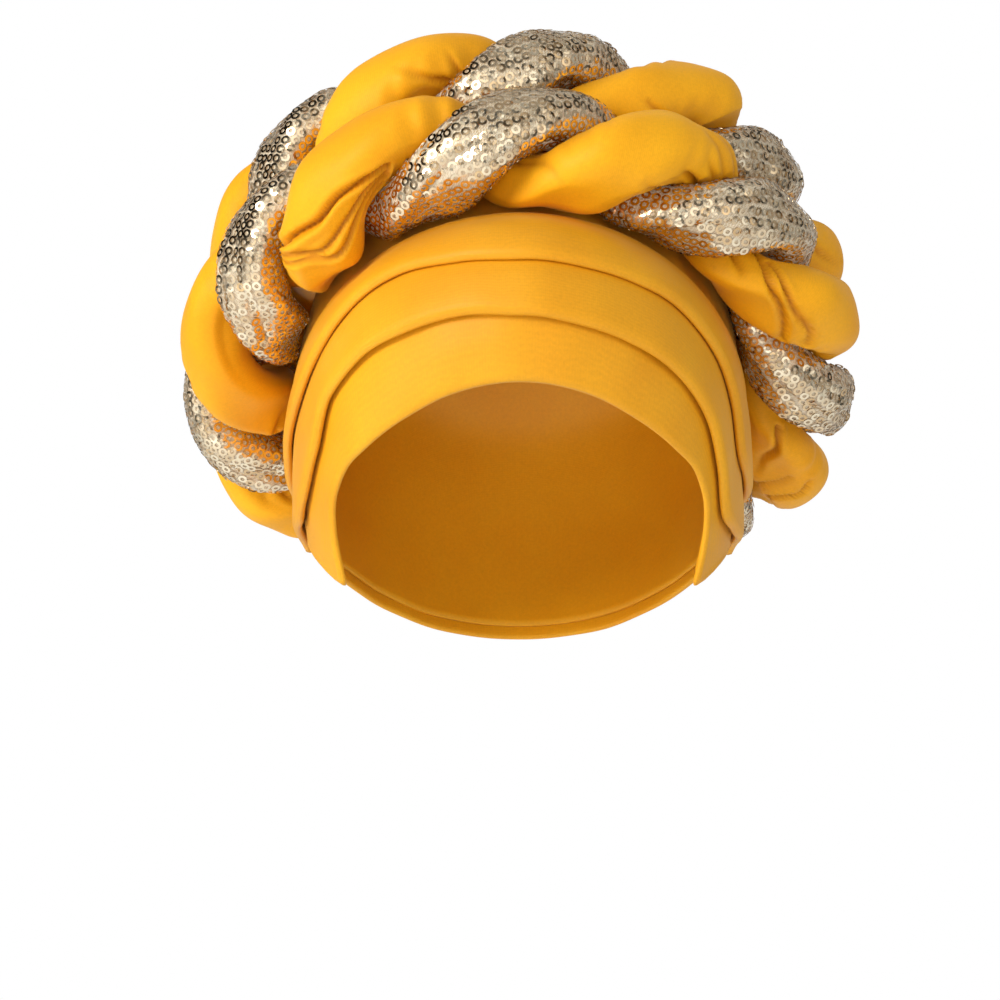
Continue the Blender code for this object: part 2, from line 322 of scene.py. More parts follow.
def gridObject(name, points, closedAcross, closedAlong, uv, pole=None):
    rows, columns = points.shape[:2]
    verts = points.reshape(-1, 3)
    along = rows if closedAlong else rows - 1
    cells = columns if closedAcross else columns - 1
    i, j = np.meshgrid(np.arange(along), np.arange(cells), indexing="ij")
    i2, j2 = (i + 1) % rows, (j + 1) % columns
    corners = (i * columns + j, i2 * columns + j, i2 * columns + j2, i * columns + j2)
    quads = np.stack(corners, -1).reshape(-1, 4)
    u = np.stack([uv[0][i], uv[0][i + 1], uv[0][i + 1], uv[0][i]], -1)
    v = np.stack([uv[1][j], uv[1][j], uv[1][j + 1], uv[1][j + 1]], -1)
    faces = quads.tolist()
    loops = np.stack([u, v], -1).reshape(-1, 2)
    if pole is not None:
        verts = np.vstack([verts, pole])
        faces += [[len(verts) - 1, c, (c + 1) % columns] for c in range(cells)]
        tip = [[(0.0, uv[1][c]), (uv[0][0], uv[1][c]), (uv[0][0], uv[1][c + 1])] for c in range(cells)]
        loops = np.vstack([loops, np.array(tip).reshape(-1, 2)])
    obj = meshObject(name, verts, faces)
    layer = obj.data.uv_layers.new(name="clothUV")
    layer.data.foreach_set("uv", loops.astype(np.float32).ravel())
    obj.data.shade_smooth()
    return obj


# Camera, where the photograph was taken from
view = {"place": (-0.0070, -1.76794, -0.08494), "lens": 168.3, "sensor": 36.0}
bpy.ops.object.camera_add(location=view["place"], rotation=(math.radians(90), 0, 0))
camera = bpy.context.object
camera.data.lens = view["lens"]
camera.data.sensor_width = view["sensor"]
bpy.context.scene.camera = camera
print("camera placed")


def newGroup(name, inputs, outputs):
    group = bpy.data.node_groups.new(name, "ShaderNodeTree")
    for way, sockets in (("INPUT", inputs), ("OUTPUT", outputs)):
        for label, kind in sockets:
            group.interface.new_socket(label, in_out=way, socket_type=kind)
    return group, group.nodes.new("NodeGroupInput"), group.nodes.new("NodeGroupOutput")


def newMaterial(name):
    material = bpy.data.materials.new(name)
    material.use_nodes = True
    return material, material.node_tree, material.node_tree.nodes["Principled BSDF"]


def setSockets(shader, values):
    for name, value in values.items():
        shader.inputs[name].default_value = value


def addNode(tree, kind, **values):
    node = tree.nodes.new(kind)
    for key, value in values.items():
        if hasattr(node, key):
            setattr(node, key, value)
        else:
            node.inputs[key.replace("_", " ")].default_value = value
    return node


def mathNode(tree, operation, first, second=None):
    node = addNode(tree, "ShaderNodeMath", operation=operation)
    for slot, value in enumerate((first, second)):
        if value is None:
            continue
        if isinstance(value, (int, float)):
            node.inputs[slot].default_value = value
        else:
            tree.links.new(value, node.inputs[slot])
    return node.outputs[0]


def mixColors(tree, share, first, second, blend="MIX"):
    node = addNode(tree, "ShaderNodeMix", data_type="RGBA", blend_type=blend)
    for slot, value in ((0, share), (6, first), (7, second)):
        if isinstance(value, (int, float, tuple)):
            node.inputs[slot].default_value = value
        else:
            tree.links.new(value, node.inputs[slot])
    return node.outputs[2]


def noiseNode(tree, place, scale, detail, roughness=0.5):
    node = addNode(tree, "ShaderNodeTexNoise", Scale=scale, Detail=detail, Roughness=roughness)
    tree.links.new(place, node.inputs["Vector"])
    return node.outputs[0]


def rangeNode(tree, value, fromEnds, toEnds=(0.0, 1.0)):
    node = addNode(tree, "ShaderNodeMapRange")
    for slot, end in zip(("From Min", "From Max", "To Min", "To Max"), (*fromEnds, *toEnds)):
        node.inputs[slot].default_value = end
    tree.links.new(value, node.inputs[0])
    return node.outputs[0]


def addBump(tree, shader, height, strength, depth):
    bump = addNode(tree, "ShaderNodeBump", Strength=strength, Distance=depth)
    tree.links.new(height, bump.inputs["Height"])
    tree.links.new(bump.outputs[0], shader.inputs["Normal"])


# Knit face: wales along the cloth, small loops, slubs and slow changes of tone
knit = {
    "wanderScale": 120.0,
    "wander": 2.2,
    "courses": 1.35,
    "waleShare": 0.6,
    "courseShare": 0.4,
    "toneScale": 16.0,
    "toneEnds": (0.32, 0.68),
    "grainScale": 900.0,
    "grainHeight": 0.8,
    "tintFrom": 0.80,
    "grainTint": 0.22,
    "loopTint": 0.025,
    "roughFrom": 0.42,
    "grainRough": 0.14,
    "bumpDepth": 0.0001,
    "sheenRoughness": 0.35,
    "sheenTint": (1.0, 0.66, 0.20),
}


def buildKnitFace():
    group, given, face = newGroup(
        "knitFace",
        (
            ("Cloth", "NodeSocketVector"),
            ("Space", "NodeSocketVector"),
            ("Deep", "NodeSocketColor"),
            ("Light", "NodeSocketColor"),
            ("Wales", "NodeSocketFloat"),
        ),
        (("Color", "NodeSocketColor"), ("Roughness", "NodeSocketFloat"), ("Height", "NodeSocketFloat")),
    )

    def plus(first, second):
        return mathNode(group, "ADD", first, second)

    def times(first, second):
        return mathNode(group, "MULTIPLY", first, second)

    def wave(place):
        return mathNode(group, "SINE", times(place, 2 * math.pi))

    clothWay = addNode(group, "ShaderNodeSeparateXYZ")
    group.links.new(given.outputs["Cloth"], clothWay.inputs[0])
    space = given.outputs["Space"]
    wander = noiseNode(group, space, knit["wanderScale"], 2.0)
    wales = plus(times(clothWay.outputs["X"], given.outputs["Wales"]), times(wander, knit["wander"]))
    courses = times(times(clothWay.outputs["Y"], given.outputs["Wales"]), knit["courses"])
    loops = plus(times(wave(wales), knit["waleShare"]), times(wave(courses), knit["courseShare"]))
    tone = rangeNode(group, noiseNode(group, space, knit["toneScale"], 3.0, 0.55), knit["toneEnds"])
    grain = noiseNode(group, space, knit["grainScale"], 2.0, 0.7)
    mixed = mixColors(group, tone, given.outputs["Deep"], given.outputs["Light"])
    tint = plus(plus(times(grain, knit["grainTint"]), knit["tintFrom"]), times(loops, knit["loopTint"]))
    tintColor = addNode(group, "ShaderNodeCombineColor")
    for slot in range(3):
        group.links.new(tint, tintColor.inputs[slot])
    group.links.new(mixColors(group, 1.0, mixed, tintColor.outputs[0], "MULTIPLY"), face.inputs["Color"])
    group.links.new(plus(times(grain, knit["grainRough"]), knit["roughFrom"]), face.inputs["Roughness"])
    group.links.new(plus(loops, times(grain, knit["grainHeight"])), face.inputs["Height"])
    return group


knitGroup = buildKnitFace()


def knitMaterial(name, look):
    material, tree, shader = newMaterial(name)
    uv = addNode(tree, "ShaderNodeUVMap", uv_map="clothUV")
    place = addNode(tree, "ShaderNodeTexCoord")
    face = addNode(tree, "ShaderNodeGroup", node_tree=knitGroup)
    setSockets(face, {"Deep": (*look["deep"], 1), "Light": (*look["light"], 1), "Wales": look["wales"]})
    tree.links.new(uv.outputs[0], face.inputs["Cloth"])
    tree.links.new(place.outputs["Object"], face.inputs["Space"])
    color = face.outputs["Color"]
    if "fold" in look:  # painted shade: a darker line at the bottom of each crease
        foldShadeShare = addNode(tree, "ShaderNodeAttribute", attribute_name="foldShade")
        color = mixColors(tree, foldShadeShare.outputs["Fac"], color, (*look["fold"], 1))
    tree.links.new(color, shader.inputs["Base Color"])
    tree.links.new(face.outputs["Roughness"], shader.inputs["Roughness"])
    addBump(tree, shader, face.outputs["Height"], look["bump"], knit["bumpDepth"])
    setSockets(shader, {"Sheen Weight": look["sheen"], "Sheen Roughness": knit["sheenRoughness"]})
    setSockets(shader, {"Sheen Tint": (*knit["sheenTint"], 1), "Specular IOR Level": look["specular"]})
    return material


ropeKnit = knitMaterial(
    "ropeKnit",
    {
        "deep": (0.84, 0.345, 0.006),
        "light": (0.91, 0.430, 0.010),
        # Painted shade colour for the line at the bottom of each crease
        "fold": (0.42, 0.118, 0.002),
        "wales": 1300.0,
        "bump": 0.12,
        "sheen": 0.12,
        "specular": 0.22,
    },
)
capKnit = knitMaterial(
    "capKnit",
    {
        "deep": (0.735, 0.300, 0.006),
        "light": (0.790, 0.366, 0.010),
        "wales": 1050.0,
        "bump": 0.12,
        "sheen": 0.15,
        "specular": 0.3,
    },
)


def netMaterial(look):
    net, tree, shader = newMaterial("sequinNet")
    uv = addNode(tree, "ShaderNodeUVMap", uv_map="clothUV")
    place = addNode(tree, "ShaderNodeTexCoord")
    cells = addNode(tree, "ShaderNodeTexVoronoi", feature="DISTANCE_TO_EDGE")
    setSockets(cells, {"Scale": look["cells"], "Randomness": look["uneven"]})
    tree.links.new(uv.outputs[0], cells.inputs["Vector"])
    thread = rangeNode(tree, cells.outputs["Distance"], look["threadEnds"], (1.0, 0.0))
    tone = rangeNode(tree, noiseNode(tree, place.outputs["Object"], look["toneScale"], 3.0), look["toneEnds"])
    ground = mixColors(tree, tone, (*look["deep"], 1), (*look["light"], 1))
    color = mixColors(tree, thread, ground, (*look["thread"], 1))
    tree.links.new(color, shader.inputs["Base Color"])
    addBump(tree, shader, thread, look["bump"], look["bumpDepth"])
    finish = {"Metallic": look["metal"], "Roughness": look["roughness"], "Sheen Weight": look["sheen"]}
    setSockets(shader, finish)
    return net


def foilMaterial(look):
    foil, tree, shader = newMaterial("sequinFoil")
    tone = addNode(tree, "ShaderNodeAttribute", attribute_name="ringTone")
    color = mixColors(tree, tone.outputs["Fac"], (*look["deep"], 1), (*look["light"], 1))
    tree.links.new(color, shader.inputs["Base Color"])
    place = addNode(tree, "ShaderNodeTexCoord")
    smudge = noiseNode(tree, place.outputs["Object"], look["smudgeScale"], 1.0)
    tree.links.new(rangeNode(tree, smudge, look["smudgeEnds"], look["roughness"]), shader.inputs["Roughness"])
    shader.inputs["Metallic"].default_value = 1.0
    return foil


sequinNet = netMaterial(
    {
        "cells": 900.0,
        "uneven": 0.35,
        "threadEnds": (0.05, 0.16),
        "toneScale": 38.0,
        "toneEnds": (0.35, 0.65),
        "deep": (0.56, 0.41, 0.235),
        "light": (0.78, 0.64, 0.44),
        "thread": (0.88, 0.78, 0.60),
        "bump": 0.6,
        "bumpDepth": 0.0002,
        "metal": 0.35,
        "roughness": 0.42,
        "sheen": 0.3,
    }
)
sequinFoil = foilMaterial(
    {
        "deep": (0.70, 0.48, 0.25),
        "light": (0.96, 0.83, 0.60),
        "smudgeScale": 700.0,
        "smudgeEnds": (0.3, 0.7),
        "roughness": (0.10, 0.20),
    }
)
print("materials built")


# Padded strands, fuller on the sides that nothing presses on, with dents and small gathers
padding = {
    "stations": {"front plain": 880, "rear plain": 700, "front sequin": 540, "rear sequin": 500},
    "sides": {"front plain": 88, "rear plain": 64, "front sequin": 48, "rear sequin": 44},
    "crowding": 0.42,
    "fuller": {"plain": 0.0026, "sequin": 0.0008},
    "narrower": {"plain": 0.0002, "sequin": 0.0012},
    "freeFrom": -0.22,
    "freeReach": 0.9,
    "plump": 0.0004,
    "plumpFrom": 0.4,
    "dents": 0.00045,
    "dentWaves": (14, 12, 46),
    "gathers": 0.00040,
    "gatherEdge": 0.22,
    "gatherWaves": (8, 70, 130),
    "patchWaves": (6, 6, 22),
    "patchiness": (0.35, 1.2),
    "swellFrom": -0.7,
    "swellReach": 0.4,
    "seed": 11,
    "creaseSeed": 41,
}

# The tube of cloth that is blown up to fill each strand
filling = {
    "stations": 320,
    "sides": 30,
    "inset": 0.0007,
    "frames": 12,
    "most": 0.0012,
    "heldShare": 0.25,
    "cloth": {
        "quality": 4,
        "mass": 0.12,
        "tension_stiffness": 6,
        "compression_stiffness": 6,
        "shear_stiffness": 2,
        "bending_stiffness": 0.05,
        "air_damping": 4,
        "use_pressure": True,
        "uniform_pressure_force": 4.0,
        "shrink_min": -0.05,
    },
}

# Creases pressed and pinched into the strands. Each has its places along the strand as (turn, side in
# degrees), then its depth, width and lip in metres and the share of them left at its far end
creases = {
    "front plain": [
        (
            ((4.48, 238), (4.34, 272), (4.19, 310), (3.99, 352), (3.72, 430), (3.48, 500)),
            (0.0044, 0.0011, 0.0018, 1.0),
        ),
        (
            ((4.46, 232), (4.31, 256), (4.16, 288), (3.88, 352), (3.68, 424), (3.47, 492)),
            (0.0024, 0.0010, 0.0009, 0.9),
        ),
        (
            ((4.44, 227), (4.32, 242), (4.15, 272), (3.93, 326), (3.70, 406), (3.46, 484)),
            (0.0020, 0.0009, 0.0008, 0.9),
        ),
        (((4.39, 220), (4.30, 230), (4.20, 246)), (0.0018, 0.0012, 0.0006, 0.1)),
        (((6.50, 200), (6.32, 234), (6.18, 296)), (0.0036, 0.0012, 0.0013, 0.1)),
        (((6.70, 203), (6.53, 236), (6.42, 268)), (0.0036, 0.0012, 0.0013, 0.1)),
        (((6.82, 208), (6.71, 234), (6.61, 260)), (0.0030, 0.0012, 0.0012, 0.1)),
        (((6.90, 214), (6.76, 246), (6.57, 308)), (0.0013, 0.0015, 0.0008, 0.3)),
        (((7.00, 222), (6.86, 256), (6.65, 312)), (0.0012, 0.0014, 0.0008, 0.3)),
        (((5.22, 172), (5.45, 126), (5.62, 46)), (0.0017, 0.0022, 0.0009, 0.1)),
        (((7.27, 150), (7.37, 124), (7.42, 102)), (0.0024, 0.0014, 0.0010, 0.1)),
        (((7.44, 156), (7.61, 80), (7.82, 22), (8.03, -32), (8.14, -70)), (0.0034, 0.0011, 0.0014, 0.6)),
        (((7.52, 134), (7.81, 40), (8.11, -22), (8.24, -60)), (0.0026, 0.0011, 0.0010, 0.5)),
        (((9.54, 116), (9.93, 10), (10.19, -42)), (0.0030, 0.0012, 0.0012, 0.2)),
        (((10.62, 262), (10.48, 286), (10.30, 356), (10.15, 398)), (0.0030, 0.0010, 0.0012, 0.5)),
        (((10.56, 240), (10.42, 268), (10.24, 336), (10.08, 382)), (0.0018, 0.0009, 0.0008, 0.4)),
        (((1.56, 70), (1.62, 40), (1.74, -10)), (0.0018, 0.0016, 0.0008, 0.1)),
    ],
    "rear plain": [
        (((4.90, 206), (4.86, 236), (4.83, 262)), (0.0028, 0.0012, 0.0010, 0.1)),
        (((4.86, 207), (4.70, 250), (4.56, 308)), (0.0030, 0.0012, 0.0012, 0.1)),
        (((6.40, 296), (6.28, 334), (6.20, 360)), (0.0030, 0.0012, 0.0012, 0.1)),
        (((8.10, 60), (8.30, 25), (8.52, -4)), (0.0018, 0.0014, 0.0008, 0.2)),
        (((2.36, 220), (2.22, 262), (2.06, 310)), (0.0018, 0.0014, 0.0008, 0.1)),
    ],
    "front sequin": [],
    "rear sequin": [],
}


def addCommonCreases():
    # Hidden lobes are pinched where they dive under their neighbours, and the net wrinkles along its length
    random = np.random.default_rng(padding["creaseSeed"])
    for rope, hidden in (("front", (0, 12, 14)), ("rear", (0, 10, 12, 14))):
        for lobe in hidden:
            turn, side = random.uniform(-0.05, 0.05), random.uniform(-14, 14)
            nearEnd = (
                (lobe + 0.66 + turn, 204),
                (lobe + 0.50 + turn, 238 + side),
                (lobe + 0.28 + turn, 292 + side),
            )
            besideIt = (
                (lobe + 0.80 + turn, 210),
                (lobe + 0.68 + turn, 236),
                (lobe + 0.56 + turn, 268 + side),
            )
            farEnd = (
                (lobe - 0.72 + turn, 168),
                (lobe - 0.52, 120 + side),
                (lobe - 0.36, 62 + side),
            )
            creases[f"{rope} plain"] += [
                (nearEnd, (0.0024, 0.0013, 0.0010, 0.1)),
                (besideIt, (0.0020, 0.0013, 0.0009, 0.1)),
                (farEnd, (0.0017, 0.0018, 0.0008, 0.1)),
            ]
        for lobe in range(1, len(lobes), 2):
            for start, middle, end in ((98, 62, 42), (34, 12, -12), (150, 128, 96)):
                turn, side = random.uniform(-0.1, 0.1, 3), random.uniform(-13, 13, 3)
                wrinkle = (
                    (lobe - 0.42 + turn[0], start + side[0]),
                    (lobe - 0.08 + turn[1], middle + side[1]),
                    (lobe + 0.28 + turn[2], end + side[2]),
                )
                creases[f"{rope} sequin"].append((wrinkle, (0.0018, 0.0014, 0.0012, 0.15)))


addCommonCreases()

# How a crease is formed: its sides and its lip in shares of its width, and the painted shade line along it
pressed = {
    "steps": 40,
    "reach": 0.35,
    "fade": 1.3,
    "widening": (0.8, 0.4),
    "lipSide": 0.8,
    "otherSide": 1.15,
    "lipAway": 2.1,
    "lipWidth": 1.4,
    "lipShares": (0.70, 0.30),
    "shade": 0.95,
    "shadeWidth": 0.0009,
    "shadeDepth": 0.0022,
}

# Where the wadding bunches up: rope, turn, side in degrees, height and reach in metres
swellings = (
    ("front plain", 3.84, 330, 0.0032, 0.0140),
    ("front plain", 3.25, 158, 0.0044, 0.0130),
    ("front plain", 3.60, 408, 0.0020, 0.0120),
    ("front plain", 4.00, 268, 0.0034, 0.0120),
    ("front plain", 4.10, 20, 0.0014, 0.0160),
    ("front plain", 6.90, 252, 0.0026, 0.0120),
    ("front plain", 5.80, 318, 0.0020, 0.0160),
    ("front plain", 6.05, 20, 0.0014, 0.0170),
    ("front plain", 8.05, 20, 0.0012, 0.0150),
    ("front plain", 2.00, 10, 0.0012, 0.0150),
    ("front plain", 10.40, 8, 0.0026, 0.0130),
    ("rear plain", 6.15, 86, -0.0030, 0.0170),
    ("rear plain", 6.98, 262, 0.0048, 0.0150),
    ("rear plain", 7.02, 232, 0.0030, 0.0110),
    ("rear plain", 8.66, 342, 0.0044, 0.0150),
    ("rear plain", 4.35, 330, 0.0012, 0.0150),
)


def readGrid(grid, i, j):
    # Values between the points of a grid that closes on itself both ways
    rows, columns = grid.shape[:2]
    i0, j0 = np.floor(i).astype(int), np.floor(j).astype(int)
    f, g = (i - i0)[:, None], (j - j0)[:, None]
    near = (1 - g) * grid[i0 % rows, j0 % columns] + g * grid[i0 % rows, (j0 + 1) % columns]
    far = (1 - g) * grid[(i0 + 1) % rows, j0 % columns] + g * grid[(i0 + 1) % rows, (j0 + 1) % columns]
    return (1 - f) * near + f * far


def stationAt(turn, turns):
    # The place in a strand's row of stations where it has made so many half turns
    loop = np.append(turns, turns[0] + len(lobes))
    return np.interp(turn % len(lobes), loop, np.arange(len(turns) + 1.0))


def swellRelief(points, turns, name):
    relief = np.zeros(points.shape[:2])
    for rope, turn, side, height, reach in swellings:
        if rope == name:
            column = np.array([side / 360 * points.shape[1]])
            spot = readGrid(points, stationAt(np.array([turn]), turns), column)
            relief += height * np.exp(-((np.linalg.norm(points - spot[0], axis=2) / reach) ** 2))
    return relief


def slowNoise(turns, angle, seed, waves, least, most):
    random = np.random.default_rng(seed)
    total = np.zeros((len(turns), len(angle)))
    for _ in range(waves):
        k = random.integers(least, most)
        m = random.integers(0, 4)
        phase = random.uniform(0, 2 * math.pi)
        total += np.cos(2 * math.pi * k * turns[:, None] / len(lobes) + m * angle[None, :] + phase)
    return total / math.sqrt(waves)


def creaseRelief(turns, points, normal, name):
    # Each crease sinks along a line on the cloth and stands up in a lip beside it, and a painted shade line
    # darkens its bottom
    relief = np.zeros(points.shape[:2])
    shade = np.zeros(points.shape[:2])
    for spots, (depth, width, lip, farShare) in creases[name]:
        steps = np.linspace(0, len(spots) - 1, pressed["steps"] * (len(spots) - 1) + 1)
        path = smoothRows(np.array(spots, float), steps)
        t = np.linspace(0, 1, len(path))
        line = readGrid(points, stationAt(path[:, 0], turns), path[:, 1] / 360 * points.shape[1])
        tangent = np.gradient(line, axis=0)
        tangent /= np.maximum(np.linalg.norm(tangent, axis=1, keepdims=True), 1e-9)
        low, high = path[:, 0].min() - pressed["reach"], path[:, 0].max() + pressed["reach"]
        span = np.nonzero((turns - low) % len(lobes) < high - low)[0]
        away = np.linalg.norm(points[span][:, :, None, :] - line[None, None, :, :], axis=3)
        near = away.argmin(axis=2)
        distance = away.min(axis=2)
        across = np.cross(normal[span], tangent[near])
        side = np.einsum("rcd,rcd->rc", across, points[span] - line[near])
        fade = 1 + (farShare - 1) * t[near] ** pressed["fade"]
        wide = width * (pressed["widening"][0] + pressed["widening"][1] * t[near])
        sink = wide * np.where(side > 0, pressed["lipSide"], pressed["otherSide"])
        groove = -depth * np.exp(-((distance / sink) ** 2))
        hump = np.exp(-(((distance - pressed["lipAway"] * wide) / (pressed["lipWidth"] * wide)) ** 2))
        ridge = lip * hump * (pressed["lipShares"][0] + pressed["lipShares"][1] * np.tanh(side / wide))
        relief[span] += (groove + ridge) * fade
        # Painted shade: a dark line down the bottom of the crease, kept for the cloth's colour
        dark = pressed["shade"] * np.exp(-((distance / pressed["shadeWidth"]) ** 2))
        shade[span] = np.maximum(shade[span], dark * fade * min(depth / pressed["shadeDepth"], 1.0))
    return relief, shade


def paddedSection(parts, sides, free=0.0, fuller=0.0, narrower=0.0):
    # An oval, and nearer to round where nothing presses on it
    angle = 2 * math.pi * np.arange(sides) / sides
    cosines, sines = np.cos(angle), np.sin(angle)
    middle = parts["centre"] + parts["radial"] * strandOut
    thick = np.full((len(middle), sides), halfThick) + fuller * free
    wide = np.full((len(middle), sides), halfWide) - narrower * free
    radial, across = parts["radial"][:, None, :], parts["across"][:, None, :]
    points = middle[:, None, :] + radial * (thick * cosines)[:, :, None] + across * (wide * sines)[:, :, None]
    normal = radial * (cosines / halfThick)[None, :, None] + across * (sines / halfWide)[None, :, None]
    return angle, points, unit(normal)


def splineWeights(at, count):
    first = np.floor(at).astype(int)
    f = (at - first)[:, None]
    index = (first[:, None] + np.array([-1, 0, 1, 2])) % count
    shares = (
        (1 - f) ** 3 / 6,
        (3 * f**3 - 6 * f**2 + 4) / 6,
        (-3 * f**3 + 3 * f**2 + 3 * f + 1) / 6,
        f**3 / 6,
    )
    return index, np.concatenate(shares, axis=1)


def periodicSample(field, turns, columns):
    # Smooth reading, at another fineness, of a grid that closes on itself both ways
    rowIndex, rowWeight = splineWeights(turns * field.shape[0] / len(lobes), field.shape[0])
    columnIndex, columnWeight = splineWeights(np.arange(columns) * field.shape[1] / columns, field.shape[1])
    byRow = np.einsum("rkc,rk->rc", field[rowIndex], rowWeight)
    return np.einsum("rck,ck->rc", byRow[:, columnIndex], columnWeight)


def outwardShare(parts, points):
    # 1 on the side away from the cap, -1 against it
    return np.einsum("rcd,rd->rc", unit(points - parts["centre"][:, None, :]), parts["out"])


def filledBySimulation(name, rear, strand):
    # A cloth tube blown up from the strand's own shape: how far each point moves out
    coarse = strandFrame(rear, strand, stationTurns(filling["stations"], 0.0))
    angle, points, normal = paddedSection(coarse, filling["sides"])
    points = points - normal * filling["inset"]
    uv = (np.arange(filling["stations"] + 1.0), np.arange(filling["sides"] + 1.0))
    tube = gridObject(name + "Filling", points, True, True, uv)
    cloth = tube.modifiers.new("filling", "CLOTH")
    for setting, value in filling["cloth"].items():
        setattr(cloth.settings, setting, value)
    cloth.settings.effector_weights.gravity = 0
    cloth.collision_settings.use_collision = False
    cloth.point_cache.frame_start = 1
    cloth.point_cache.frame_end = filling["frames"]
    for number in range(1, filling["frames"] + 1):
        bpy.context.scene.frame_set(number)
    ready = tube.evaluated_get(bpy.context.evaluated_depsgraph_get())
    moved = np.empty(len(tube.data.vertices) * 3)
    ready.data.vertices.foreach_get("co", moved)
    moved = moved.reshape(points.shape) - points
    bpy.data.objects.remove(tube, do_unlink=True)
    bpy.context.scene.frame_set(1)
    outwards = np.einsum("rcd,rcd->rc", moved, normal)
    return outwards - np.median(outwards)


def makeStrand(rope, kind):
    name = f"{rope}_{kind}_strand"
    strandName = f"{rope} {kind}"
    rear = rope == "rear"
    strand = 0 if kind == "plain" else 1
    sides = padding["sides"][strandName]
    parts = strandFrame(rear, strand, stationTurns(padding["stations"][strandName], padding["crowding"]))
    turns = parts["turns"]
    outward = outwardShare(parts, paddedSection(parts, sides)[1])
    free = np.clip((outward - padding["freeFrom"]) / padding["freeReach"], 0, 1)
    free = free * free * (3 - 2 * free)
    fuller, narrower = padding["fuller"][kind], padding["narrower"][kind]
    angle, points, normal = paddedSection(parts, sides, free, fuller, narrower)
    relief = padding["plump"] * free * np.clip(np.cos(angle)[None, :] + padding["plumpFrom"], 0, 1)
    seed = padding["seed"] + 7 * rear + 3 * strand
    relief += padding["dents"] * free * slowNoise(turns, angle, seed, *padding["dentWaves"])
    ripple = slowNoise(turns, angle, seed + 100, *padding["gatherWaves"])
    edge = np.exp(-(((np.abs(np.sin(angle)) - 1.0) / padding["gatherEdge"]) ** 2))[None, :]
    least, most = padding["patchiness"]
    patchy = np.clip(least + slowNoise(turns, angle, seed + 200, *padding["patchWaves"]), 0, most)
    relief += padding["gathers"] * ripple * edge * free * patchy
    filled = periodicSample(filledBySimulation(name, rear, strand), turns, sides)
    held = filling["heldShare"]
    relief += np.clip(filled, -filling["most"], filling["most"]) * (held + (1 - held) * free)
    swollen = np.clip((outward - padding["swellFrom"]) / padding["swellReach"], 0, 1)
    relief += swellRelief(points, turns, strandName) * swollen
    points = points + normal * relief[:, :, None]
    folds, shade = creaseRelief(turns, points, normal, strandName)
    points = points + normal * folds[:, :, None]
    # The filling can't push through the flat between the two strands
    radial = np.einsum("rcd,rd->rc", points - parts["centre"][:, None, :], parts["radial"])
    points += np.maximum(wrap["strandGap"] / 2 - radial, 0)[:, :, None] * parts["radial"][:, None, :]
    middle = points.mean(axis=1)
    step = np.linalg.norm(np.roll(middle, -1, axis=0) - middle, axis=1)
    u = np.concatenate([[0], np.cumsum(step)])
    v = np.concatenate([[0], np.cumsum(np.linalg.norm(np.roll(points[0], -1, axis=0) - points[0], axis=1))])
    obj = gridObject(name, points, True, True, (u, v))
    if kind == "plain":
        # Painted shade along the crease bottoms, which darkens the rope cloth's colour
        foldShade = obj.data.attributes.new("foldShade", "FLOAT", "POINT")
        foldShade.data.foreach_set("value", shade.astype(np.float32).ravel())
    obj.data.materials.append(ropeKnit if kind == "plain" else sequinNet)
    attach(obj, "root")
    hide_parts(f"{rope}_twist_{kind}")
    print("strand made:", name, len(obj.data.polygons), "faces")
    return parts, points, u, v


strands = {}
for ropeName in ("front", "rear"):
    for kindName in ("plain", "sequin"):
        strands[ropeName, kindName] = makeStrand(ropeName, kindName)


# Sequins: one dished ring, copied in rows over the sides of the net strands that show
sequins = {
    "radius": 0.00178,
    "hole": 0.00084,
    "slope": 0.070,
    "rowStep": 0.00320,
    "pitch": 0.00360,
    "strayAlong": 0.10,
    "strayAcross": 0.05,
    "lift": 0.00032,
    "liftSpread": 0.00016,
    "overlapTilt": 0.05,
    "scatter": 0.062,
    "drift": 0.075,
    "driftWaves": (12, 40, 110),
    "looseShare": 0.05,
    "looseLean": 3.5,
    "coveredFrom": -0.93,
    "frontWorth": 0.8,
    "browTurns": (1.5, 9.5),
    "most": 5000,
    "seed": 5,
}


def oneSequin():
    half = (sequins["radius"] - sequins["hole"]) / 1.5
    bpy.ops.object.select_all(action="DESELECT")
    bpy.ops.mesh.primitive_torus_add(
        major_segments=8, minor_segments=3, major_radius=sequins["radius"] - half, minor_radius=half
    )
    ring = bpy.context.object
    bpy.ops.object.mode_set(mode="EDIT")
    bpy.ops.mesh.select_all(action="SELECT")
    bpy.ops.transform.resize(value=(1, 1, sequins["slope"] * math.sqrt(3)))
    bpy.ops.object.mode_set(mode="OBJECT")
    spots = np.empty(len(ring.data.vertices) * 3)
    ring.data.vertices.foreach_get("co", spots)
    faces = [list(face.vertices) for face in ring.data.polygons]
    bpy.data.objects.remove(ring, do_unlink=True)
    return spots.reshape(-1, 3), faces


def sequinPlaces(random, u, v, worth, rows, columns):
    # Staggered rows, and of them the places that show best
    rowCount = int(u[-1] / sequins["rowStep"])
    acrossCount = int(v[-1] / sequins["pitch"])
    places = []
    for r in range(rowCount):
        i = np.interp((r + 0.5) * u[-1] / rowCount, u, np.arange(rows + 1.0))
        i = i + random.normal(0, sequins["strayAlong"], acrossCount)
        j = np.arange(acrossCount) + 0.5 * (r % 2)
        j = (j + random.normal(0, sequins["strayAcross"], acrossCount)) / acrossCount * columns
        places.append(np.stack([i, j], -1))
    i, j = np.vstack(places).T
    worth = readGrid(worth[:, :, None], i, j)[:, 0]
    shown = np.nonzero(np.cos(2 * math.pi * j / columns) > sequins["coveredFrom"])[0]
    shown = shown[np.argsort(-worth[shown])][: sequins["most"]]
    shown.sort()
    return i[shown], j[shown]


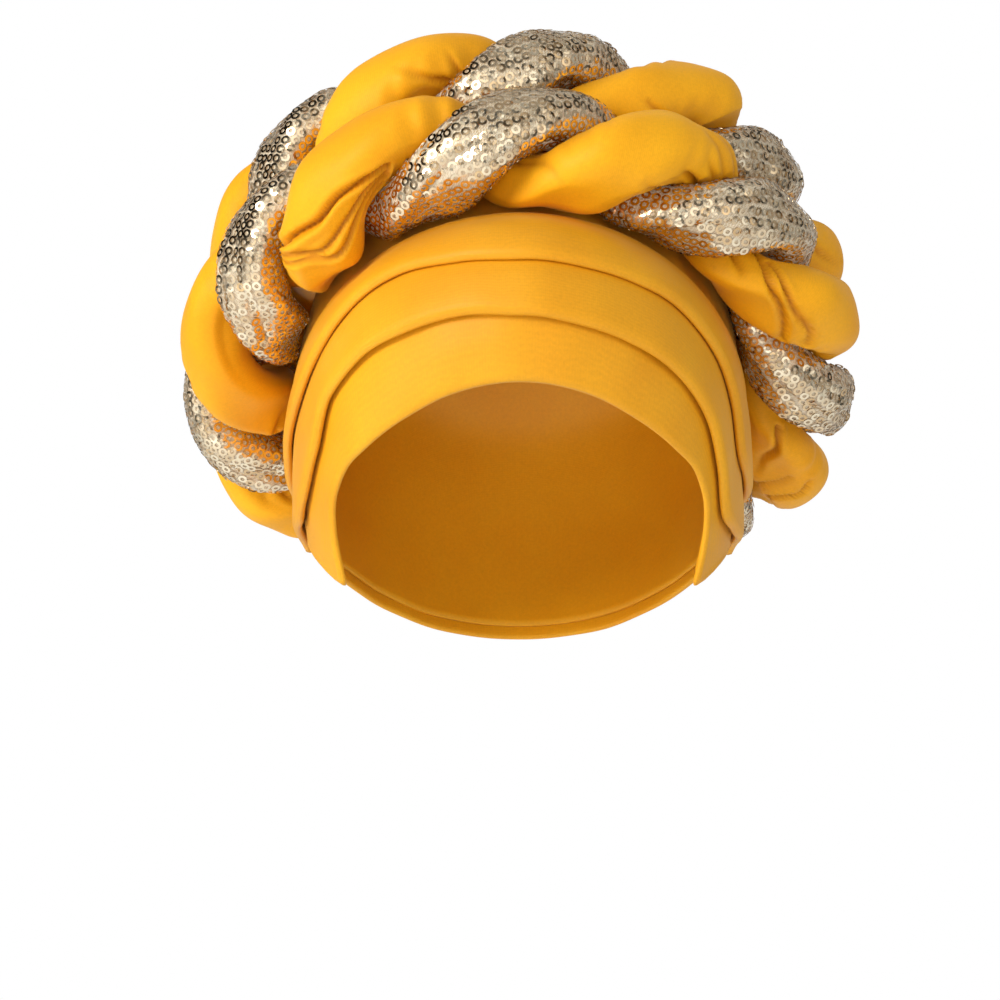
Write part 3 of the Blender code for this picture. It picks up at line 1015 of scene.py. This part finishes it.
def sowSequins(rope):
    spots, faces = oneSequin()
    parts, points, u, v = strands[rope, "sequin"]
    random = np.random.default_rng(sequins["seed"] + (rope == "rear"))
    rows, columns = points.shape[:2]
    alongWay = unit(np.roll(points, -1, axis=0) - np.roll(points, 1, axis=0))
    acrossWay = np.roll(points, -1, axis=1) - np.roll(points, 1, axis=1)
    normal = unit(np.cross(alongWay, acrossWay))
    if np.einsum("cd,cd->c", points[0] - points[0].mean(axis=0), normal[0]).mean() < 0:
        normal = -normal
    worth = outwardShare(parts, points) + sequins["frontWorth"] * np.clip(-normal[:, :, 1], 0, 1)
    i, j = sequinPlaces(random, u, v, worth, rows, columns)
    n, a = unit(readGrid(normal, i, j)), readGrid(alongWay, i, j)
    lift = sequins["lift"] + random.uniform(0, sequins["liftSpread"], (len(i), 1))
    centre = readGrid(points, i, j) + n * lift
    angle = 2 * math.pi * np.arange(columns) / columns
    waves = [slowNoise(parts["turns"], angle, sequins["seed"] + k, *sequins["driftWaves"]) for k in (20, 30)]
    drift = [readGrid(wave[:, :, None], i, j) for wave in waves]
    lean = sequins["scatter"] * random.normal(0, 1, (len(i), 2)) + sequins["drift"] * np.hstack(drift)
    loose = random.uniform(0, 1, len(i)) < sequins["looseShare"]
    lean[loose] *= sequins["looseLean"]
    b = np.cross(n, a)
    n = unit(n + a * (sequins["overlapTilt"] + lean[:, :1]) + b * lean[:, 1:])
    a = unit(a - n * np.einsum("kd,kd->k", a, n)[:, None])
    b = np.cross(n, a)
    verts = centre[:, None, :] + spots[None, :, :1] * a[:, None, :] + spots[None, :, 1:2] * b[:, None, :]
    verts = verts + spots[None, :, 2:] * n[:, None, :]
    turn = np.interp(i, np.arange(rows), parts["turns"])
    tones = random.uniform(0, 1, len(i))
    atBrow = (turn > sequins["browTurns"][0]) & (turn < sequins["browTurns"][1])
    for part, chosen in (("brow", atBrow), ("nape", ~atBrow)):
        name = f"{rope}_{part}_sequins"
        count = int(chosen.sum())
        allFaces = [[k * len(spots) + p for p in face] for k in range(count) for face in faces]
        obj = meshObject(name, verts[chosen].reshape(-1, 3), allFaces)
        tone = obj.data.attributes.new("ringTone", "FLOAT", "POINT")
        tone.data.foreach_set("value", np.repeat(tones[chosen], len(spots)).astype(np.float32))
        obj.data.materials.append(sequinFoil)
        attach(obj, "root")
        print("sequins sown:", rope, part, count)


for ropeName in ("front", "rear"):
    sowSequins(ropeName)


# Cap, band and pleats, each a sheet of cloth, and the tiers with a rolled lower edge
cloth = {
    "wall": 0.0011,
    "ripple": 0.00018,
    "rippleWaves": 10,
    "rippleCounts": (3, 26),
    "rippleLean": 60,
    "girth": 0.54,
    "capColumns": 200,
    "capRows": 38,
    "firstRow": 0.02,
    "rowSpread": 0.75,
    "capRun": (0.004, 0.20),
    "capInset": 0.0010,
    "capHem": 0.0040,
    "tierColumns": 200,
    "tierRows": 34,
    "tierPitch": 0.0016,
    "rollRise": 0.0006,
    "rollDip": 0.0004,
    "bandTop": 0.0120,
    "overlap": 0.0070,
    "upperTop": 0.0180,
}

# Offsets from the cap at shares of the way down a tier, then the offset and depth of the part turned under
tiers = {
    "band": {
        "shares": (0, 0.2, 0.5, 0.75, 0.9, 0.97, 1.0),
        "offsets": (0.0008, 0.0009, 0.0010, 0.0012, 0.0015, 0.0016, 0.0012),
        "under": 0.0003,
        "deep": 0.0060,
    },
    "pleat": {
        "shares": (0, 0.15, 0.3, 0.5, 0.68, 0.82, 0.92, 0.98, 1.0),
        "offsets": (0.0010, 0.0014, 0.0022, 0.0034, 0.0042, 0.0049, 0.0053, 0.0050, 0.0042),
        "under": 0.0031,
        "deep": 0.0050,
    },
}


def clothRipple(degrees, heights, seed):
    random = np.random.default_rng(seed)
    total = np.zeros(np.broadcast(degrees, heights).shape)
    for _ in range(cloth["rippleWaves"]):
        k = random.integers(*cloth["rippleCounts"])
        lean = random.uniform(-cloth["rippleLean"], cloth["rippleLean"])
        total += np.cos(np.radians(degrees) * k + heights * lean + random.uniform(0, 2 * math.pi))
    return cloth["ripple"] * total / math.sqrt(cloth["rippleWaves"])


def finishSheet(obj, node):
    obj.data.materials.append(capKnit)
    wall = obj.modifiers.new("wall", "SOLIDIFY")
    wall.thickness = cloth["wall"]
    wall.offset = 0
    wall.use_even_offset = False
    bpy.context.view_layer.objects.active = obj
    bpy.ops.object.modifier_apply(modifier=wall.name)
    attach(obj, "root")
    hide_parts(node)
    print("sheet made:", obj.name, len(obj.data.polygons), "faces")


def makeCap():
    columns = cloth["capColumns"]
    degrees = np.arange(columns) * 360 / columns - 180
    edge = placeOfHeight(rimHeight(degrees) + cloth["capHem"])
    share = np.linspace(cloth["firstRow"], 1, cloth["capRows"])[:, None]
    places = share ** cloth["rowSpread"] * edge[None, :]
    heights = np.interp(places, finePlaces, fineSections[:, 0])
    ripple = clothRipple(degrees[None, :], heights, 3)
    offset = -cloth["capInset"] + ripple * np.clip(share * 3, 0, 1)
    points = capSurface(np.broadcast_to(np.radians(degrees), places.shape), places, offset)
    pole = capPoint(np.zeros(1), np.zeros(1))[0] - axisWay * cloth["capInset"]
    uv = (np.linspace(*cloth["capRun"], cloth["capRows"]), np.linspace(0, cloth["girth"], columns + 1))
    return gridObject("cap_shell", points, True, False, uv, pole=pole)


def makeTier(name, kind, degrees, low, high, closed):
    angle = np.radians(degrees)
    tier = tiers[kind]
    level = np.ones(len(angle))
    fine = np.linspace(0, 1, cloth["tierRows"])
    offsets = np.interp(fine, tier["shares"], tier["offsets"])
    rows = [(high + (low - high) * share, offset * level) for share, offset in zip(fine, offsets)]
    last, under = tier["offsets"][-1], tier["under"]
    for turn in (0.35, 0.7, 1.0):  # the rolled edge
        rise = cloth["rollRise"] * (1 - math.cos(turn * math.pi / 2))
        dip = cloth["rollDip"] * math.sin(turn * math.pi)
        rows.append((low + rise - dip, (last + (under - last) * turn) * level))
    for turn in (0.25, 0.5, 0.75, 1.0):  # the part turned under
        rows.append((low + cloth["rollRise"] + tier["deep"] * turn, under * level))
    heights = np.array([row[0] for row in rows])
    offset = np.array([row[1] for row in rows])
    ripple = clothRipple(degrees[None, :], heights, 20 + len(name))
    offset = offset + ripple * np.clip((high - heights) / 0.01, 0, 1)
    points = capSurface(np.broadcast_to(angle, heights.shape), placeOfHeight(heights), offset)
    u = np.concatenate([[0], np.cumsum(np.full(len(angle), cloth["tierPitch"]))])
    run = np.linalg.norm(np.diff(points[:, 0], axis=0), axis=1)
    v = np.concatenate([[0], np.cumsum(run)])
    return gridObject(name, points, closed, False, (v, u))


def coveredShare(degrees):
    return np.clip(4 * (1 - np.abs(degrees) / pleatEnd), 0, 1)


def bandTop(degrees):
    strip = rimHeight(degrees) + cloth["bandTop"]
    return strip + (foldHeight(degrees, 1) + cloth["overlap"] - strip) * coveredShare(degrees)


def pleatTop(degrees):
    return foldHeight(degrees, 3) + cloth["overlap"] * (1 + coveredShare(degrees)) / 2


def makeCapAndPleats():
    finishSheet(makeCap(), "cap_body")
    around = np.arange(cloth["capColumns"]) * 360 / cloth["capColumns"] - 180
    band = makeTier("brow_band_cloth", "band", around, rimHeight(around), bandTop(around), True)
    finishSheet(band, "brow_band")
    front = np.linspace(-pleatEnd, pleatEnd, cloth["tierColumns"])
    lower = makeTier("lower_fold_cloth", "pleat", front, foldHeight(front, 1), pleatTop(front), False)
    finishSheet(lower, "lower_fold")
    top = ropeLift(front) - cloth["upperTop"]
    upper = makeTier("upper_fold_cloth", "pleat", front, foldHeight(front, 3), top, False)
    finishSheet(upper, "upper_fold")


makeCapAndPleats()


# Floor, lights and sky
studio = {
    "floorDrop": 0.62,
    "floorRadius": 1.6,
    "floorColor": (0.86, 0.87, 0.88),
    "aim": (0.0, -0.03, -0.03),
    "sky": 0.50,
    "skyColor": (0.93, 0.96, 1.0),
    "frontEnds": (-0.20, -0.75),
    "frontGlow": (0.42, 1.5),
    "backEnds": (0.15, 0.45),
    "backGlow": (0.0, 0.15),
    "patchScale": 3.4,
    "patchEnds": (0.42, 0.54),
    "patches": (0.06, 1.15),
    "darkWay": (-0.77, 0.20, 0.61),
    "darkEnds": (0.71, 0.86),
    "darkSide": (1.0, 0.05),
}

# Name, place, size, power, colour and whether the sequins mirror it
lights = (
    ("keyLight", (-0.90, -1.25, 0.75), 0.85, 13.5, (1.0, 0.98, 0.95), True),
    ("leftLight", (-1.35, -0.55, 0.15), 0.7, 12.5, (1.0, 0.98, 0.95), False),
    ("fillLight", (1.15, -1.0, 0.25), 0.8, 5.0, (0.97, 0.98, 1.0), False),
    ("frontLight", (-0.25, -1.7, -0.35), 1.0, 7.2, (1.0, 0.99, 0.97), False),
    ("rimLight", (0.3, 1.2, 1.1), 0.7, 8.0, (1.0, 1.0, 1.0), False),
)


def layFloor():
    bpy.ops.object.select_all(action="DESELECT")
    bpy.ops.mesh.primitive_circle_add(
        vertices=96, radius=studio["floorRadius"], fill_type="NGON", location=(0, 0, -studio["floorDrop"])
    )
    floor = bpy.context.object
    floor.name = "studioFloor"
    pale, tree, shader = newMaterial("paleFloor")
    setSockets(shader, {"Base Color": (*studio["floorColor"], 1), "Roughness": 0.8})
    floor.data.materials.append(pale)
    floor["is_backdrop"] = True


def addLight(name, place, size, power, color, mirrored):
    bpy.ops.object.light_add(type="AREA", location=place)
    lamp = bpy.context.object
    lamp.name = name
    lamp.data.shape = "DISK"
    lamp.data.size = size
    lamp.data.energy = power
    lamp.data.color = color
    lamp.visible_glossy = mirrored
    aim = np.array(studio["aim"]) - np.array(place)
    tilt = math.atan2(math.hypot(aim[0], aim[1]), -aim[2])
    lamp.rotation_euler = (tilt, 0, math.atan2(aim[1], aim[0]) - math.pi / 2)


def makeSky():
    # White to the camera, a plain glow on the cloth, and light and dark patches in the sequins
    world = bpy.data.worlds.new("studioSky")
    bpy.context.scene.world = world
    world.use_nodes = True
    sky = world.node_tree
    glow = sky.nodes["Background"]
    setSockets(glow, {"Color": (*studio["skyColor"], 1), "Strength": studio["sky"]})
    seen = addNode(sky, "ShaderNodeBackground", Color=(1.0, 1.0, 1.0, 1), Strength=1.0)
    mirrored = addNode(sky, "ShaderNodeBackground")
    way = addNode(sky, "ShaderNodeTexCoord").outputs["Generated"]
    wayParts = addNode(sky, "ShaderNodeSeparateXYZ")
    sky.links.new(way, wayParts.inputs[0])
    front = rangeNode(sky, wayParts.outputs["Y"], studio["frontEnds"], studio["frontGlow"])
    behind = rangeNode(sky, wayParts.outputs["Y"], studio["backEnds"], studio["backGlow"])
    patches = noiseNode(sky, way, studio["patchScale"], 1.0)
    patches = rangeNode(sky, patches, studio["patchEnds"], studio["patches"])
    darkWay = addNode(sky, "ShaderNodeVectorMath", operation="DOT_PRODUCT")
    darkWay.inputs[1].default_value = studio["darkWay"]
    sky.links.new(way, darkWay.inputs[0])
    dark = rangeNode(sky, darkWay.outputs["Value"], studio["darkEnds"], studio["darkSide"])
    patchy = mathNode(sky, "MULTIPLY", mathNode(sky, "ADD", front, behind), patches)
    sky.links.new(mathNode(sky, "MULTIPLY", patchy, dark), mirrored.inputs["Strength"])
    ray = addNode(sky, "ShaderNodeLightPath").outputs
    light = glow.outputs[0]
    for kind, other in (("Is Glossy Ray", mirrored), ("Is Camera Ray", seen)):
        mix = addNode(sky, "ShaderNodeMixShader")
        for slot, value in enumerate((ray[kind], light, other.outputs[0])):
            sky.links.new(value, mix.inputs[slot])
        light = mix.outputs[0]
    sky.links.new(light, sky.nodes["World Output"].inputs["Surface"])


layFloor()
for light in lights:
    addLight(*light)
makeSky()
bpy.context.scene.view_settings.view_transform = "Standard"
print("studio lit")

sizes = {"cad": solidBox, "visual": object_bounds()}
sizes = {name: [[float(value) for value in corner] for corner in box] for name, box in sizes.items()}
